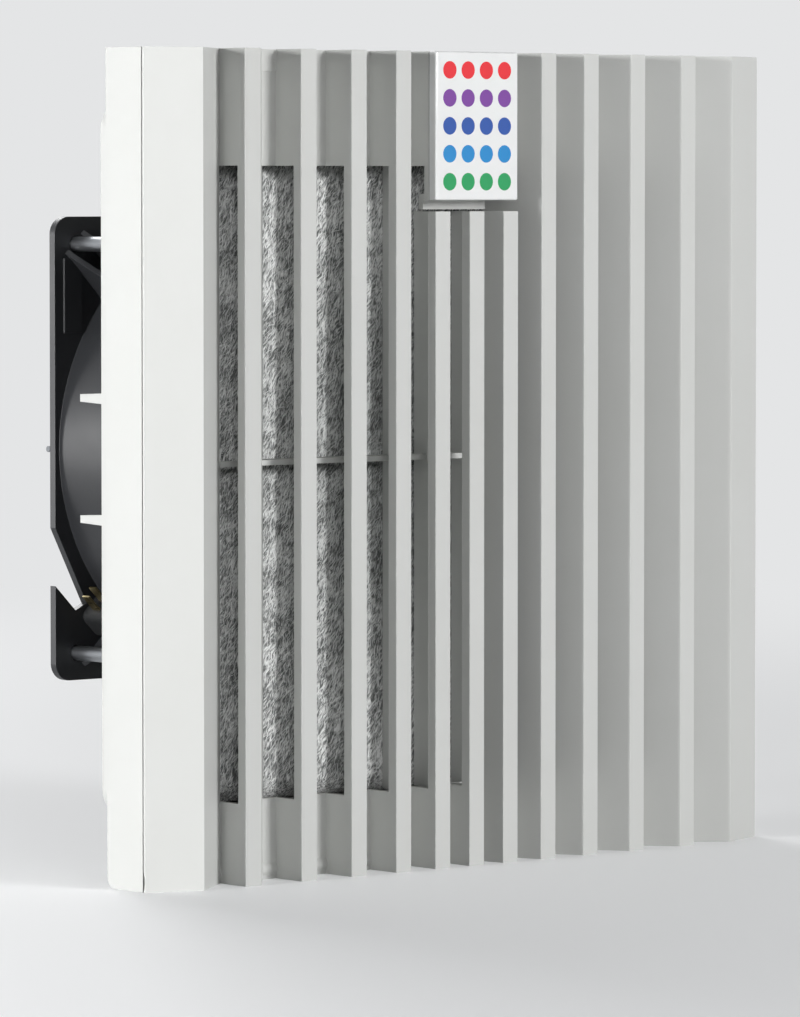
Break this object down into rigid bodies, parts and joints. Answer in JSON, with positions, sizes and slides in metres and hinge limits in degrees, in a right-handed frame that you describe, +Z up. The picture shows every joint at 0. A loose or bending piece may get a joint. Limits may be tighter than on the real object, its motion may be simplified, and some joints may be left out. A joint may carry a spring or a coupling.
{
  "type": "cabinet filter fan",
  "caption": "Square louvred filter fan for a cabinet wall: a hinged slatted front and frame hold a fibre mat, with a black axial fan on a neck behind the collar.",
  "frame": {"origin": "centre of the flange's rear face, which seats on the cabinet wall", "axes": "+Z up, -Y to the louvred front, +Y into the cabinet along the fan's axis"},
  "size_m": [0.204, 0.1019, 0.204],
  "materials": {
    "grey_abs": "fine moulded texture, light grey",
    "badge": "glossy printed plate",
    "filter_fibre": "loose bonded fibre",
    "foam_seal": "closed-cell foam",
    "cast_black": "die-cast, black coated",
    "black_plastic": "glass-filled, black",
    "rotor_steel": "deep-drawn steel, black coated",
    "zinc_steel": "zinc plated",
    "brass_tab": "tinned brass",
    "bearing_alloy": "turned",
    "bearing_steel": "ground",
    "laminations": "stamped and stacked",
    "copper_wire": "enamelled wire"
  },
  "bodies": {
    "housing": {"base_frame": "grey_abs", "support_grid": "grey_abs", "filter_mat": "filter_fibre", "panel_gasket": "foam_seal", "fan_carrier": "grey_abs", "carrier_screws": "zinc_steel", "fan_housing": "cast_black", "fan_screws": "zinc_steel", "wire_guard": "zinc_steel", "terminal_block": "black_plastic", "terminal_blades": "brass_tab", "bearing_tube": "bearing_alloy", "bearing_outer_rings": "bearing_steel", "stator_core": "laminations", "stator_windings": "copper_wire"},
    "rotor": {"impeller": "black_plastic", "rotor_cup": "rotor_steel", "rotor_cage": "laminations", "shaft": "bearing_steel", "bearing_inner_rings": "bearing_steel", "bearing_balls": "bearing_steel", "retaining_ring": "bearing_steel"},
    "grille": {"louvre_grille": "grey_abs", "badge_plate": "badge"}
  },
  "joints": [
    {"name": "grille_hinge", "type": "hinge", "parent": "housing", "child": "grille", "pos_m": [0, -0.0082, -0.0995], "axis": [1, 0, 0], "range_deg": [0, 75]},
    {"name": "rotor_spin", "type": "hinge", "parent": "housing", "child": "rotor", "pos_m": [0, 0.0587, 0.0012], "axis": [0, 1, 0], "continuous": true}
  ]
}
